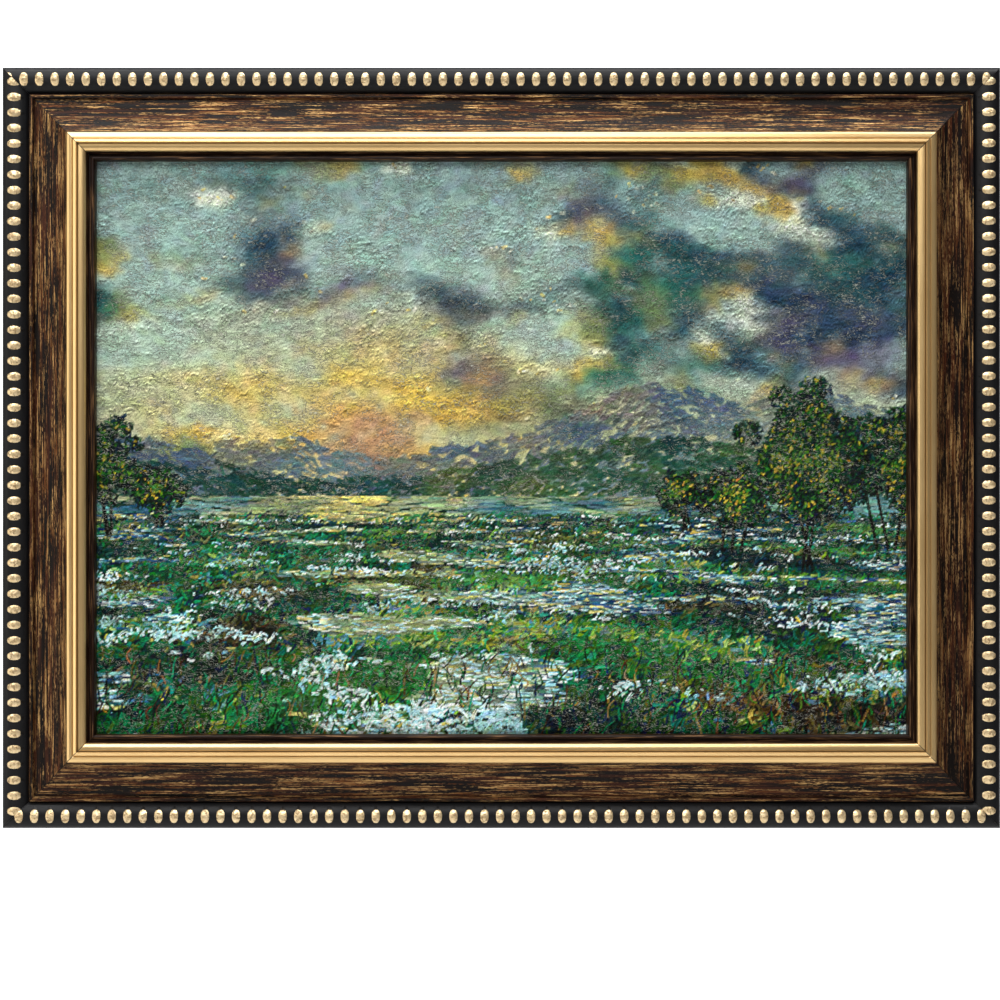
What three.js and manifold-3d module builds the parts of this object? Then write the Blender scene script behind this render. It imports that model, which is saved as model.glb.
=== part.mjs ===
// A framed oil painting on board, made to hang from one nail by the sawtooth hanger on its back.
// Millimetres. +X is to the right, +Y into the wall and +Z up. The origin is the middle notch of
// the hanger, where it bears on the wall's nail.

import * as THREE from "three";
import { mergeVertices } from "three/addons/utils/BufferGeometryUtils.js";
import Module from "manifold-3d";

// The painting: what shows of it, and the board that it is painted on.
const sightWidth = 340;
const sightHeight = 240;
const boardCover = 5;
const boardThickness = 3.2;
const boardPlay = 1;

// The moulding in section, from its outer edge in to the picture. Heights are above its back.
const rollWidth = 11.1;
const rollSpring = 8.2;
const rollHeight = 12.9;
const rollCrestInset = 4.6;
const rollShoulder = 9.4;
const creaseHeight = 9.3;
const filletWidth = 2.6;
const filletHeight = 11.2;
const filletChamfer = 0.7;
const quirkWidth = 1.8;
const quirkHeight = 9.8;
const scoopWidth = 13.1;
const scoopStartHeight = 10.4;
const scoopEndHeight = 16.4;
const scoopBelly = 7.6;
const outerReedWidth = 3;
const outerReedHeight = 18.1;
const reedNick = 0.4;
const upperReedWidth = 1.5;
const railDepth = 19;
const valleyWidth = 1.1;
const valleyDepth = 1;
const innerBandWidth = 2.7;
const innerBandDrop = 2.3;
const gapWidth = 1.3;
const gapHeight = 14.2;
const sightBeadWidth = 1.8;
const sightBeadHeight = 15.3;
const rebateDepth = 11;

// How many flat faces each curve of the section has.
const rollFaces = 2;
const scoopFaces = 4;
const reedFaces = 2;
const sightBeadFaces = 2;

// The beads on the roll, moulded in one with it. The moulding was cut where its beads happened
// to fall, so each rail has its own distance from the frame's corner to the first of them.
const beadPitch = 6.5;
const beadInset = 2.3;
const beadLength = 7.4;
const beadWidth = 4;
const beadRise = 1.3;
const beadShoulder = 1.2;
const beadWaist = 4.2;
const beadWaistWidth = 3.5;
const beadSides = 6;
const beadTilt = THREE.MathUtils.degToRad(14);
const firstBead = { top: 3.3, bottom: 1.2, left: 0.2, right: 0 };

// Air between pieces that touch, and between the two faces of a mitre.
const fitGap = 0.3;
const mitreGap = 0.3;

// The steel points, driven into the rebate's wall, that keep the board in its place.
const pointWidth = 8;
const pointLength = 15;
const pointThickness = 0.8;
const pointBite = 6;
const pointTipWidth = 3;
const pointSpread = { top: 230, bottom: 230, left: 130, right: 130 };

// The hanger, and the two nails that hold it to the top rail.
const hangerDrop = 18;
const hangerLength = 45;
const hangerHeight = 8;
const hangerThickness = 0.8;
const hangerStandoff = 1.6;
const hangerPad = 7.5;
const hangerRamp = 2;
const toothPitch = 3;
const toothCount = 7;
const toothHeight = 1.6;
const toothTip = 0.5;
const nailShankRadius = 0.7;
const nailHeadRadius = 1.7;
const nailHeadThickness = 0.6;
const nailLength = 9;
const nailPoint = 1.4;
const nailSides = 8;

// How far a cutting tool reaches past what it cuts.
const spare = 2;

// What follows from the sizes above.
const railWidth =
  rollWidth +
  filletWidth +
  quirkWidth +
  scoopWidth +
  outerReedWidth +
  upperReedWidth +
  valleyWidth +
  innerBandWidth +
  gapWidth +
  sightBeadWidth;
const outerWidth = sightWidth + 2 * railWidth;
const outerHeight = sightHeight + 2 * railWidth;
const rebateWidth = boardCover + boardPlay;
const rebateWall = railWidth - rebateWidth;
const boardBack = rebateDepth - fitGap - boardThickness;
const pointBack = boardBack - fitGap - pointThickness;
const railBack = -(hangerStandoff + hangerThickness / 2);
const frameCentre = hangerDrop - outerHeight / 2;
const nailHeight = hangerHeight / 2 - toothHeight;
const nailSpread = hangerLength - hangerPad;
const nailHeadSeat = railBack + fitGap + hangerThickness + fitGap;

const wasm = await Module();
wasm.setup();

// A closed geometry as a manifold solid.
function solidOf(geometry) {
  const bare = geometry.clone();
  bare.deleteAttribute("normal");
  bare.deleteAttribute("uv");
  const merged = mergeVertices(bare, 1e-4);
  return new wasm.Manifold(
    new wasm.Mesh({
      numProp: 3,
      vertProperties: merged.attributes.position.array,
      triVerts: new Uint32Array(merged.index.array),
    }),
  );
}

// A manifold solid as a geometry again, with flat faces.
function geometryOf(solid) {
  const mesh = solid.getMesh();
  const shared = new THREE.BufferGeometry();
  shared.setAttribute("position", new THREE.BufferAttribute(mesh.vertProperties, 3));
  shared.setIndex(new THREE.BufferAttribute(mesh.triVerts, 1));
  const faceted = shared.toNonIndexed();
  faceted.computeVertexNormals();
  return faceted;
}

// A flat outline of [x, y] points drawn out along +Z, from z = 0.
function extruded(outline, length) {
  const shape = new THREE.Shape(outline.map(([x, y]) => new THREE.Vector2(x, y)));
  return new THREE.ExtrudeGeometry(shape, { depth: length, bevelEnabled: false });
}

// The rails and their points are made in the moulding's own directions: x runs in from the outer
// edge, y up from the back and z along the rail, from its middle.

// A plate that lies flat on the moulding's back, from height low to high. Its outline is given as
// [along the rail, in from the outer edge].
function plate(outline, low, high) {
  const geometry = extruded(outline, high - low);
  geometry.applyMatrix4(
    new THREE.Matrix4().makeBasis(
      new THREE.Vector3(0, 0, 1),
      new THREE.Vector3(1, 0, 0),
      new THREE.Vector3(0, 1, 0),
    ),
  );
  geometry.translate(0, low, 0);
  return geometry;
}

// Adds a curve to an outline, from its last point to end, pulled towards a third point.
function curveTo(outline, pull, end, faces) {
  const curve = new THREE.QuadraticBezierCurve(
    new THREE.Vector2(...outline[outline.length - 1]),
    new THREE.Vector2(...pull),
    new THREE.Vector2(...end),
  );
  for (const point of curve.getPoints(faces).slice(1)) {
    outline.push([point.x, point.y]);
  }
}

// The section of the moulding.
function mouldingSection() {
  const outline = [
    [0, 0],
    [0, rollSpring],
  ];
  curveTo(outline, [0, rollHeight], [rollCrestInset, rollHeight], rollFaces);
  curveTo(outline, [rollShoulder, rollHeight], [rollWidth, creaseHeight], rollFaces);

  const filletEnd = rollWidth + filletWidth;
  outline.push([rollWidth + filletChamfer, filletHeight]);
  outline.push([filletEnd - filletChamfer, filletHeight]);
  outline.push([filletEnd, quirkHeight]);

  const scoopStart = filletEnd + quirkWidth;
  const scoopEnd = scoopStart + scoopWidth;
  outline.push([scoopStart, scoopStartHeight]);
  const scoopPull = [scoopStart + scoopBelly, scoopStartHeight];
  curveTo(outline, scoopPull, [scoopEnd, scoopEndHeight], scoopFaces);

  const outerReedEnd = scoopEnd + outerReedWidth;
  const crest = outerReedEnd + upperReedWidth;
  const outerReedTop = [outerReedEnd - reedNick, outerReedHeight];
  curveTo(outline, [scoopEnd, outerReedHeight], outerReedTop, reedFaces);
  outline.push([outerReedEnd, outerReedHeight - reedNick]);
  outline.push([outerReedEnd + reedNick, railDepth - reedNick]);
  outline.push([crest, railDepth]);

  const valleyEnd = crest + valleyWidth;
  const bandEnd = valleyEnd + innerBandWidth;
  outline.push([(crest + valleyEnd) / 2, railDepth - valleyDepth]);
  outline.push([valleyEnd, railDepth - reedNick]);
  const bandFoot = [bandEnd, railDepth - innerBandDrop];
  curveTo(outline, [bandEnd, railDepth - reedNick], bandFoot, reedFaces);

  const gapEnd = bandEnd + gapWidth;
  const beadMiddle = gapEnd + sightBeadWidth / 2;
  outline.push([(bandEnd + gapEnd) / 2, gapHeight]);
  outline.push([gapEnd, gapHeight]);
  curveTo(outline, [gapEnd, sightBeadHeight], [beadMiddle, sightBeadHeight], sightBeadFaces);
  curveTo(outline, [railWidth, sightBeadHeight], [railWidth, gapHeight], sightBeadFaces);

  outline.push([railWidth, rebateDepth]);
  outline.push([rebateWall, rebateDepth]);
  outline.push([rebateWall, 0]);
  return outline;
}

// One bead: a drop, its blunt end to the outside and its tail down the roll's inner slope. It is
// a turning with one of its flat sides up.
function beadGeometry() {
  const profile = [
    [0, 0],
    [beadWidth, beadShoulder],
    [beadWaistWidth, beadWaist],
    [0, beadLength],
  ];
  const bead = new THREE.LatheGeometry(
    profile.map(([width, y]) => new THREE.Vector2(width / 2, y)),
    beadSides,
  );
  const crown = (beadWidth / 2) * Math.cos(Math.PI / beadSides);
  bead.rotateY(Math.PI / 2);
  bead.rotateZ(-Math.PI / 2 - beadTilt);
  bead.translate(beadInset, rollHeight + beadRise - crown, 0);
  return bead;
}

// What a mitre saw leaves of a rail: it narrows at 45 degrees from its outer edge in.
function mitreBlock(length) {
  const end = length / 2 - mitreGap / Math.SQRT2;
  const outline = [
    [-end - spare, -spare],
    [end + spare, -spare],
    [end - railWidth - spare, railWidth + spare],
    [railWidth + spare - end, railWidth + spare],
  ];
  return plate(outline, -spare, railDepth + spare);
}

// The pocket that a point is driven into, in the rebate's wall.
function pointPocket(place) {
  const pocket = new THREE.BoxGeometry(
    pointBite + fitGap + spare,
    pointThickness + 2 * fitGap,
    pointWidth + 2 * fitGap,
  );
  pocket.translate(
    rebateWall + (spare - pointBite - fitGap) / 2,
    pointBack + pointThickness / 2,
    place,
  );
  return pocket;
}

// One point: a flat steel tongue, narrowed to a tip where it bites into the wood.
function pointGeometry(place) {
  const tip = rebateWall - pointBite;
  const outline = [
    [place - pointTipWidth / 2, tip],
    [place + pointTipWidth / 2, tip],
    [place + pointWidth / 2, rebateWall],
    [place + pointWidth / 2, tip + pointLength],
    [place - pointWidth / 2, tip + pointLength],
    [place - pointWidth / 2, rebateWall],
  ];
  return plate(outline, pointBack, pointBack + pointThickness);
}

// A straight round hole up into the moulding's back for one of the hanger's nails.
function nailHole(place) {
  const depth = nailLength - hangerThickness - fitGap;
  const hole = new THREE.CylinderGeometry(
    nailShankRadius + fitGap,
    nailShankRadius + fitGap,
    depth + spare,
    nailSides,
  );
  hole.translate(hangerDrop - nailHeight, (depth - spare) / 2, place);
  return hole;
}

// One rail: the moulding with its beads, mitred at both ends. Its beads are counted from the
// frame's left or top corner, which is at the rail's start where from is 1 and at its end
// where from is -1.
function railSolid(side, length, from) {
  const bar = extruded(mouldingSection(), length);
  bar.translate(0, 0, -length / 2);
  let rail = solidOf(bar);
  const bead = beadGeometry();
  for (let place = firstBead[side]; place < length; place += beadPitch) {
    const copy = bead.clone().translate(0, 0, from * (place - length / 2));
    rail = rail.add(solidOf(copy));
  }
  rail = rail.intersect(solidOf(mitreBlock(length)));
  for (const half of [-1, 1]) {
    rail = rail.subtract(solidOf(pointPocket((half * pointSpread[side]) / 2)));
  }
  return rail;
}

// The hanger: a strip with both ends flat on the rail and its middle raised, with teeth cut in
// the middle's lower edge.
function hangerGeometry() {
  const padFace = railBack + fitGap;
  const half = hangerLength / 2;
  const raised = half - hangerPad - hangerRamp;
  const outline = [
    [-half, padFace],
    [hangerPad - half, padFace],
    [-raised, -hangerThickness / 2],
    [raised, -hangerThickness / 2],
    [half - hangerPad, padFace],
    [half, padFace],
    [half, padFace + hangerThickness],
    [half - hangerPad, padFace + hangerThickness],
    [raised, hangerThickness / 2],
    [-raised, hangerThickness / 2],
    [hangerPad - half, padFace + hangerThickness],
    [-half, padFace + hangerThickness],
  ];
  const strip = extruded(outline, hangerHeight);
  strip.translate(0, 0, -toothHeight);
  let hanger = solidOf(strip);

  const notchHalf = (toothPitch - toothTip) / 2;
  const notch = extruded(
    [
      [0, 0],
      [-notchHalf, -toothHeight],
      [-notchHalf, -toothHeight - spare],
      [notchHalf, -toothHeight - spare],
      [notchHalf, -toothHeight],
    ],
    2 * spare,
  );
  notch.rotateX(Math.PI / 2);
  notch.translate(0, spare, 0);
  for (let i = 0; i < toothCount; i += 1) {
    const place = (i - (toothCount - 1) / 2) * toothPitch;
    hanger = hanger.subtract(solidOf(notch.clone().translate(place, 0, 0)));
  }

  for (const side of [-1, 1]) {
    const hole = new THREE.CylinderGeometry(
      nailShankRadius + fitGap,
      nailShankRadius + fitGap,
      2 * spare,
      nailSides,
    );
    hole.translate((side * nailSpread) / 2, padFace, nailHeight);
    hanger = hanger.subtract(solidOf(hole));
  }
  return geometryOf(hanger);
}

// One of the hanger's nails, its head towards the wall.
function nailGeometry(place) {
  const profile = [
    [0, 0],
    [nailShankRadius, nailPoint],
    [nailShankRadius, nailLength],
    [nailHeadRadius, nailLength],
    [nailHeadRadius, nailLength + nailHeadThickness],
    [0, nailLength + nailHeadThickness],
  ];
  const nail = new THREE.LatheGeometry(
    profile.map(([x, y]) => new THREE.Vector2(x, y)),
    nailSides,
  );
  nail.translate(place, nailHeadSeat - nailLength, nailHeight);
  return nail;
}

// A named piece with its own material.
function piece(name, geometry, color, roughness, metalness) {
  const material = new THREE.MeshStandardMaterial({ color, roughness, metalness });
  const mesh = new THREE.Mesh(geometry, material);
  mesh.name = name;
  return mesh;
}

const mouldingColour = "#4a3621";
const paintColour = "#6f8a80";
const steelColour = "#b9b6ae";

const painting = new THREE.Group();

// The four sides of the frame. Each is made as the bottom one and turned round the frame's middle.
const sides = {
  bottom: { length: outerWidth, across: outerHeight, turn: 0, from: 1 },
  left: { length: outerHeight, across: outerWidth, turn: 90, from: 1 },
  top: { length: outerWidth, across: outerHeight, turn: 180, from: -1 },
  right: { length: outerHeight, across: outerWidth, turn: 270, from: -1 },
};
for (const [side, { length, across, turn, from }] of Object.entries(sides)) {
  let rail = railSolid(side, length, from);
  if (side === "top") {
    for (const half of [-1, 1]) {
      rail = rail.subtract(solidOf(nailHole((half * nailSpread) / 2)));
    }
  }

  const fitted = new THREE.Group();
  fitted.setRotationFromMatrix(
    new THREE.Matrix4().makeBasis(
      new THREE.Vector3(0, 0, 1),
      new THREE.Vector3(0, -1, 0),
      new THREE.Vector3(1, 0, 0),
    ),
  );
  fitted.position.set(0, railBack, -across / 2);
  fitted.add(piece(`rail_${side}`, geometryOf(rail), mouldingColour, 0.45, 0.1));
  [-1, 1].forEach((half, i) => {
    const point = pointGeometry((half * pointSpread[side]) / 2);
    fitted.add(piece(`point_${side}_${i + 1}`, point, steelColour, 0.4, 0.9));
  });

  const turned = new THREE.Group();
  turned.rotation.y = THREE.MathUtils.degToRad(turn);
  turned.position.z = frameCentre;
  turned.add(fitted);
  painting.add(turned);
}

// The painted board, its lower edge down on the bottom rail's rebate.
const boardWidth = sightWidth + 2 * boardCover;
const boardHeight = sightHeight + 2 * boardCover;
const board = piece(
  "painted_board",
  new THREE.BoxGeometry(boardWidth, boardThickness, boardHeight),
  paintColour,
  0.4,
  0,
);
board.position.set(
  0,
  railBack - boardBack - boardThickness / 2,
  frameCentre - boardPlay + fitGap,
);
painting.add(board);

painting.add(piece("sawtooth_hanger", hangerGeometry(), steelColour, 0.35, 0.9));
painting.add(piece("hanger_nail_left", nailGeometry(-nailSpread / 2), steelColour, 0.4, 0.9));
painting.add(piece("hanger_nail_right", nailGeometry(nailSpread / 2), steelColour, 0.4, 0.9));

export default painting;
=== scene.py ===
# A framed oil painting: thick oil paint on hardboard, in a mitred picture frame with a beaded
# outer edge. Metres, with +X to the right, +Y into the wall and +Z up, as in the frame it loads.

import math

import bmesh
import bpy
import numpy as np
from mathutils import Matrix, Vector


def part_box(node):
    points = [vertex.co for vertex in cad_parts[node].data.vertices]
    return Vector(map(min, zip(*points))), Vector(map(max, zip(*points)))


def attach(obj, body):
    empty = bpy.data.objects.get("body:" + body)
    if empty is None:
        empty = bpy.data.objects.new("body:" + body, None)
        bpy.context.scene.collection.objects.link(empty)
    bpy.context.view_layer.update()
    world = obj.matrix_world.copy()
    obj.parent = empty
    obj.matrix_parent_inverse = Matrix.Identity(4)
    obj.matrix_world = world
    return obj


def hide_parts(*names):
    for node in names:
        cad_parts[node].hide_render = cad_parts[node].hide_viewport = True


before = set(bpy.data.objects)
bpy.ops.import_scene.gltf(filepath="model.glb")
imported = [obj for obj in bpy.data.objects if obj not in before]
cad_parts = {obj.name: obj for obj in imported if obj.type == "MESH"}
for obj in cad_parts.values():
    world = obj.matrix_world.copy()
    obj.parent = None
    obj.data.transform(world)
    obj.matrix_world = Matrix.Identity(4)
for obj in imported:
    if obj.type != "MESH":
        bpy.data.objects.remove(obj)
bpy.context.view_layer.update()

# The camera. It stands square in front of the painting and a little below its middle, as far off
# as the photographer stood, and has no shift.
outer_low, outer_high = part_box("rail_bottom")[0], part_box("rail_top")[1]
frame_middle = Vector((0, 0, (outer_low.z + outer_high.z) / 2))
camera_distance = 0.717
camera_offset = Vector((-0.0006, 0, -0.0219))
camera_lens = 60.4
camera_sensor = 36

camera_data = bpy.data.cameras.new("camera")
camera_data.lens = camera_lens
camera_data.sensor_width = camera_sensor
camera = bpy.data.objects.new("camera", camera_data)
camera.location = frame_middle + camera_offset - Vector((0, camera_distance, 0))
camera.rotation_euler = (math.radians(90), 0, 0)
bpy.context.scene.collection.objects.link(camera)
bpy.context.scene.camera = camera
bpy.context.scene.view_settings.view_transform = "Standard"


# The studio: a white sweep that is floor in front and backdrop behind, well clear of the painting
# so that its back can be seen too, and large soft lights above, in front and at the left.
floor_drop = 0.45
sweep_depth = 1.9
sweep_front = -1.6
sweep_radius = 0.8
sweep_height = 2.6
sweep_width = 6.0
sweep_faces = 16


def finished(name, bm, materials):
    """The object of a finished bmesh, with its materials, linked to the scene."""
    mesh = bpy.data.meshes.new(name)
    bm.to_mesh(mesh)
    bm.free()
    for material in materials:
        mesh.materials.append(material)
    piece = bpy.data.objects.new(name, mesh)
    bpy.context.scene.collection.objects.link(piece)
    return piece


floor_height = outer_low.z - floor_drop
sweep = bmesh.new()
sweep_line = [Vector((-sweep_width / 2, sweep_front, floor_height))]
for k in range(sweep_faces + 1):
    turn = math.radians(90) * k / sweep_faces
    sweep_line.append(Vector((
        -sweep_width / 2,
        sweep_depth - sweep_radius * (1 - math.sin(turn)),
        floor_height + sweep_radius * (1 - math.cos(turn)),
    )))
sweep_line.append(Vector((-sweep_width / 2, sweep_depth, floor_height + sweep_height)))
corners = [sweep.verts.new(point) for point in sweep_line]
edges = [sweep.edges.new(pair) for pair in zip(corners, corners[1:])]
drawn = bmesh.ops.extrude_edge_only(sweep, edges=edges)
moved = [v for v in drawn["geom"] if isinstance(v, bmesh.types.BMVert)]
bmesh.ops.translate(sweep, vec=(sweep_width, 0, 0), verts=moved)
for face in sweep.faces:
    face.smooth = True

class Field:
    """A value that varies over a surface. Arithmetic on it adds Math nodes to its finish."""

    def __init__(self, finish, socket):
        self.finish = finish
        self.socket = socket

    def math(self, operation, *others):
        sockets = dict(enumerate((self, *others)))
        return self.finish.node("Math", {"operation": operation}, sockets)

    def __add__(self, other):
        return self.math("ADD", other)

    def __sub__(self, other):
        return self.math("SUBTRACT", other)

    def __rsub__(self, other):
        return self.math("MULTIPLY_ADD", -1, other)

    def __mul__(self, other):
        return self.math("MULTIPLY", other)

    def __truediv__(self, other):
        return self.math("DIVIDE", other)

    def __pow__(self, other):
        return self.math("POWER", other)

    __radd__ = __add__
    __rmul__ = __mul__

    def step(self, low, high):
        """0 below low, 1 above high and smooth between them; low may be the larger."""
        sockets = {"Value": self, "From Min": low, "From Max": high}
        return self.finish.node("MapRange", {"interpolation_type": "SMOOTHSTEP"}, sockets)


class Finish:
    """A procedural material that is being put together."""

    def __init__(self, name):
        self.material = bpy.data.materials.new(name)
        self.material.use_nodes = True
        self.tree = self.material.node_tree
        self.tree.nodes.clear()

    def node(self, kind, settings, sockets, out=0):
        """Adds a node: its settings first, then a value or a link for each socket."""
        node = self.tree.nodes.new("ShaderNode" + kind)
        for name, value in settings.items():
            setattr(node, name, value)
        for name, value in sockets.items():
            if isinstance(value, Field):
                self.tree.links.new(value.socket, node.inputs[name])
            else:
                node.inputs[name].default_value = value
        return Field(self, node.outputs[out])

    def stretched(self, place, stretch):
        """The pattern place, with each of its directions multiplied."""
        return self.node("VectorMath", {"operation": "MULTIPLY"}, {0: place, 1: stretch})

    def part(self, place, axis):
        """One direction of a pattern place: X, Y or Z."""
        return self.node("SeparateXYZ", {}, {0: place}, axis)

    def noise(self, place, scale, detail=2.0, distortion=0.0):
        """Cloudy noise, from 0 to 1."""
        sockets = {"Vector": place, "Scale": scale, "Detail": detail, "Distortion": distortion}
        return self.node("TexNoise", {}, sockets)

    def mix(self, share, first, second):
        """A colour between first and second."""
        return self.node("Mix", {"data_type": "RGBA"}, {0: share, 6: first, 7: second}, 2)

    def bump(self, height, distance, strength=1.0):
        """A surface normal from a height of 0 to 1, whose full height is distance."""
        sockets = {"Height": height, "Distance": distance, "Strength": strength}
        return self.node("Bump", {}, sockets)

    def surface(self, **sockets):
        """Ends the finish with its shader. Socket names are written with underscores."""
        named = {name.replace("_", " "): value for name, value in sockets.items()}
        shader = self.node("BsdfPrincipled", {}, named)
        output = self.tree.nodes.new("ShaderNodeOutputMaterial")
        self.tree.links.new(shader.socket, output.inputs["Surface"])
        return self.material


def colour(red, green, blue):
    """A shader colour from red, green and blue of 0 to 255, as a colour picker shows them."""
    linear = [
        c / 255 / 12.92 if c <= 10 else ((c / 255 + 0.055) / 1.055) ** 2.4
        for c in (red, green, blue)
    ]
    return (*linear, 1.0)


def white_paper():
    """Paper that glows a little more the further up the backdrop it is, to come out white."""
    finish = Finish("white_paper")
    depth = finish.part(finish.node("TexCoord", {}, {}, "Object"), "Y")
    glow = finish.mix(depth.step(0.2, 1.4), (0.06, 0.06, 0.06, 1), (1, 1, 1, 1))
    return finish.surface(
        Base_Color=(0.9, 0.9, 0.9, 1), Roughness=0.9, Emission_Color=glow, Emission_Strength=0.85,
    )


finished("studio_sweep", sweep, [white_paper()])


def soft_light(name, place, aim, width, height, power, colour=(1, 1, 1)):
    """A rectangular soft light at place, turned towards aim."""
    lamp = bpy.data.lights.new(name, "AREA")
    lamp.shape = "RECTANGLE"
    lamp.size = width
    lamp.size_y = height
    lamp.energy = power
    lamp.color = colour
    holder = bpy.data.objects.new(name, lamp)
    holder.location = place
    holder.rotation_euler = (Vector(aim) - Vector(place)).to_track_quat("-Z", "Y").to_euler()
    bpy.context.scene.collection.objects.link(holder)


def lit_from(name, side, front, up, width, height, power, colour=(1, 1, 1)):
    place = frame_middle + Vector((side, -front, up))
    soft_light(name, place, frame_middle, width, height, power, colour)


lit_from("ceiling_light", 0, 0.2, 1.1, 1.6, 0.5, 21)
lit_from("key_light", -0.3, 1.3, 1.0, 1.2, 0.8, 24)
lit_from("left_light", -1.45, 0.7, 0.1, 0.8, 1.2, 7.5, (1, 0.94, 0.84))
lit_from("low_light", 0, 1.4, -0.7, 1.6, 0.4, 3)

world = bpy.data.worlds.new("studio")
world.use_nodes = True
world.node_tree.nodes["Background"].inputs["Color"].default_value = (1, 1, 1, 1)
world.node_tree.nodes["Background"].inputs["Strength"].default_value = 0.06
bpy.context.scene.world = world


# The frame's four rails: lengths of one softwood moulding, pressed with a row of drop-shaped
# beads and finished in black, streaked brown and rubbed gold, then mitred and glued. Each is one
# piece with its beads. The directions of a rail's own making are x along it from its middle, y in
# from its outer edge and z up from its back.
roll_width = 0.0111
roll_spring = 0.0082
roll_height = 0.0129
roll_crest_inset = 0.0046
roll_shoulder = 0.0094
crease_height = 0.0093
fillet_width = 0.0026
fillet_height = 0.0112
fillet_chamfer = 0.0007
quirk_width = 0.0018
quirk_height = 0.0098
scoop_width = 0.0131
scoop_start_height = 0.0104
scoop_end_height = 0.0164
scoop_belly = 0.0076
outer_reed_width = 0.003
outer_reed_height = 0.0181
reed_nick = 0.0004
upper_reed_width = 0.0015
rail_depth = 0.019
valley_width = 0.0011
valley_depth = 0.001
inner_band_width = 0.0027
inner_band_drop = 0.0023
gap_width = 0.0013
gap_height = 0.0142
sight_bead_width = 0.0018
sight_bead_height = 0.0153
rebate_depth = 0.011
rebate_width = 0.006

bead_pitch = 0.0065
bead_inset = 0.0027
bead_length = 0.0072
bead_width = 0.0048
bead_rise = 0.0013
bead_crown = 0.00173
bead_taper = 0.1
bead_tilt = math.radians(14)
bead_segments = 8
bead_rings = 7
gilding_inset = 0.0056
gilding_length = 0.0055
gilding_width = 0.0039
mitre_gap = 0.00008
mitre_line = 0.0002
curve_faces = 8

rail_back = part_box("rail_top")[1].y
fillet_end = roll_width + fillet_width
scoop_start = fillet_end + quirk_width
scoop_end = scoop_start + scoop_width
outer_reed_end = scoop_end + outer_reed_width
crest = outer_reed_end + upper_reed_width
valley_end = crest + valley_width
band_end = valley_end + inner_band_width
gap_end = band_end + gap_width
rail_width = gap_end + sight_bead_width


def curve_to(outline, pull, end):
    """Carries an outline on from its last point to end, in a curve drawn towards pull."""
    start = outline[-1]
    for k in range(1, curve_faces + 1):
        t = k / curve_faces
        weights = ((1 - t) ** 2, 2 * t * (1 - t), t * t)
        outline.append(tuple(
            sum(w * point[i] for w, point in zip(weights, (start, pull, end))) for i in (0, 1)
        ))


def moulding_section():
    """The moulding in section: points of inset from the outer edge and height above the back."""
    outline = [(0, 0), (0, roll_spring)]
    curve_to(outline, (0, roll_height), (roll_crest_inset, roll_height))
    curve_to(outline, (roll_shoulder, roll_height), (roll_width, crease_height))
    outline.append((roll_width + fillet_chamfer, fillet_height))
    outline.append((fillet_end - fillet_chamfer, fillet_height))
    outline.append((fillet_end, quirk_height))
    outline.append((scoop_start, scoop_start_height))
    scoop_pull = (scoop_start + scoop_belly, scoop_start_height)
    curve_to(outline, scoop_pull, (scoop_end, scoop_end_height))
    outer_reed_top = (outer_reed_end - reed_nick, outer_reed_height)
    curve_to(outline, (scoop_end, outer_reed_height), outer_reed_top)
    outline.append((outer_reed_end, outer_reed_height - reed_nick))
    outline.append((outer_reed_end + reed_nick, rail_depth - reed_nick))
    outline.append((crest, rail_depth))
    outline.append(((crest + valley_end) / 2, rail_depth - valley_depth))
    outline.append((valley_end, rail_depth - reed_nick))
    band_foot = (band_end, rail_depth - inner_band_drop)
    curve_to(outline, (band_end, rail_depth - reed_nick), band_foot)
    outline.append(((band_end + gap_end) / 2, gap_height))
    outline.append((gap_end, gap_height))
    bead_top = (gap_end + sight_bead_width / 2, sight_bead_height)
    curve_to(outline, (gap_end, sight_bead_height), bead_top)
    curve_to(outline, (rail_width, sight_bead_height), (rail_width, gap_height))
    outline.append((rail_width, rebate_depth))
    outline.append((rail_width - rebate_width, rebate_depth))
    outline.append((rail_width - rebate_width, 0))
    return outline


def moulding_place(finish):
    """Where a point is on the moulding: along it from its first bead, its inset, its height."""
    return finish.node("Attribute", {"attribute_name": "moulding"}, {}, "Vector")


def at_mitre(finish):
    """1 in the dark line along each mitre, 0 elsewhere."""
    away = finish.node("Attribute", {"attribute_name": "from_mitre"}, {}, "Fac")
    return away.step(1.5 * mitre_line, 0.5 * mitre_line)


def black_lacquer():
    finish = Finish("black_lacquer")
    place = moulding_place(finish)
    skin = finish.noise(place, 900, 3)
    haze = finish.noise(place, 60, 3)
    return finish.surface(
        Base_Color=finish.mix(haze, colour(8, 8, 9), colour(16, 16, 18)),
        Specular_IOR_Level=0.2,
        Roughness=0.4 + 0.16 * haze,
        Normal=finish.bump(skin, 0.00006),
    )


def gilded_bead():
    """Black lacquer with gold rubbed over the crown of each bead, worn brown in its middle."""
    finish = Finish("gilded_bead")
    place = moulding_place(finish)
    along = finish.part(place, "X").math("WRAP", bead_pitch / 2, -bead_pitch / 2)
    down = (finish.part(place, "Y") - gilding_inset) / (gilding_length / 2)
    across = along / (gilding_width / 2) * (1 + 0.05 * down)
    reach = across.math("ABSOLUTE") ** 2.4 + down.math("ABSOLUTE") ** 2.6
    ragged = finish.noise(place, 1500, 3)
    gilt = (reach + 0.5 * ragged).step(1.34, 1.2)
    blotch = finish.noise(finish.stretched(place, (620, 900, 620)), 1, 3, 0.5)
    worn = (blotch - 0.12 * reach).step(0.46, 0.6)
    tarnish = finish.noise(place, 700, 3)
    gold = finish.mix(tarnish, colour(198, 164, 108), colour(250, 230, 190))
    gold = finish.mix(0.6 * worn, gold, colour(96, 66, 34))
    return finish.surface(
        Base_Color=finish.mix(gilt, colour(9, 8, 8), gold),
        Specular_IOR_Level=0.3,
        Metallic=0.7 * gilt,
        Roughness=0.42 - 0.12 * gilt + 0.2 * worn,
        Normal=finish.bump(ragged + 0.6 * worn, 0.00012),
    )


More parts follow.
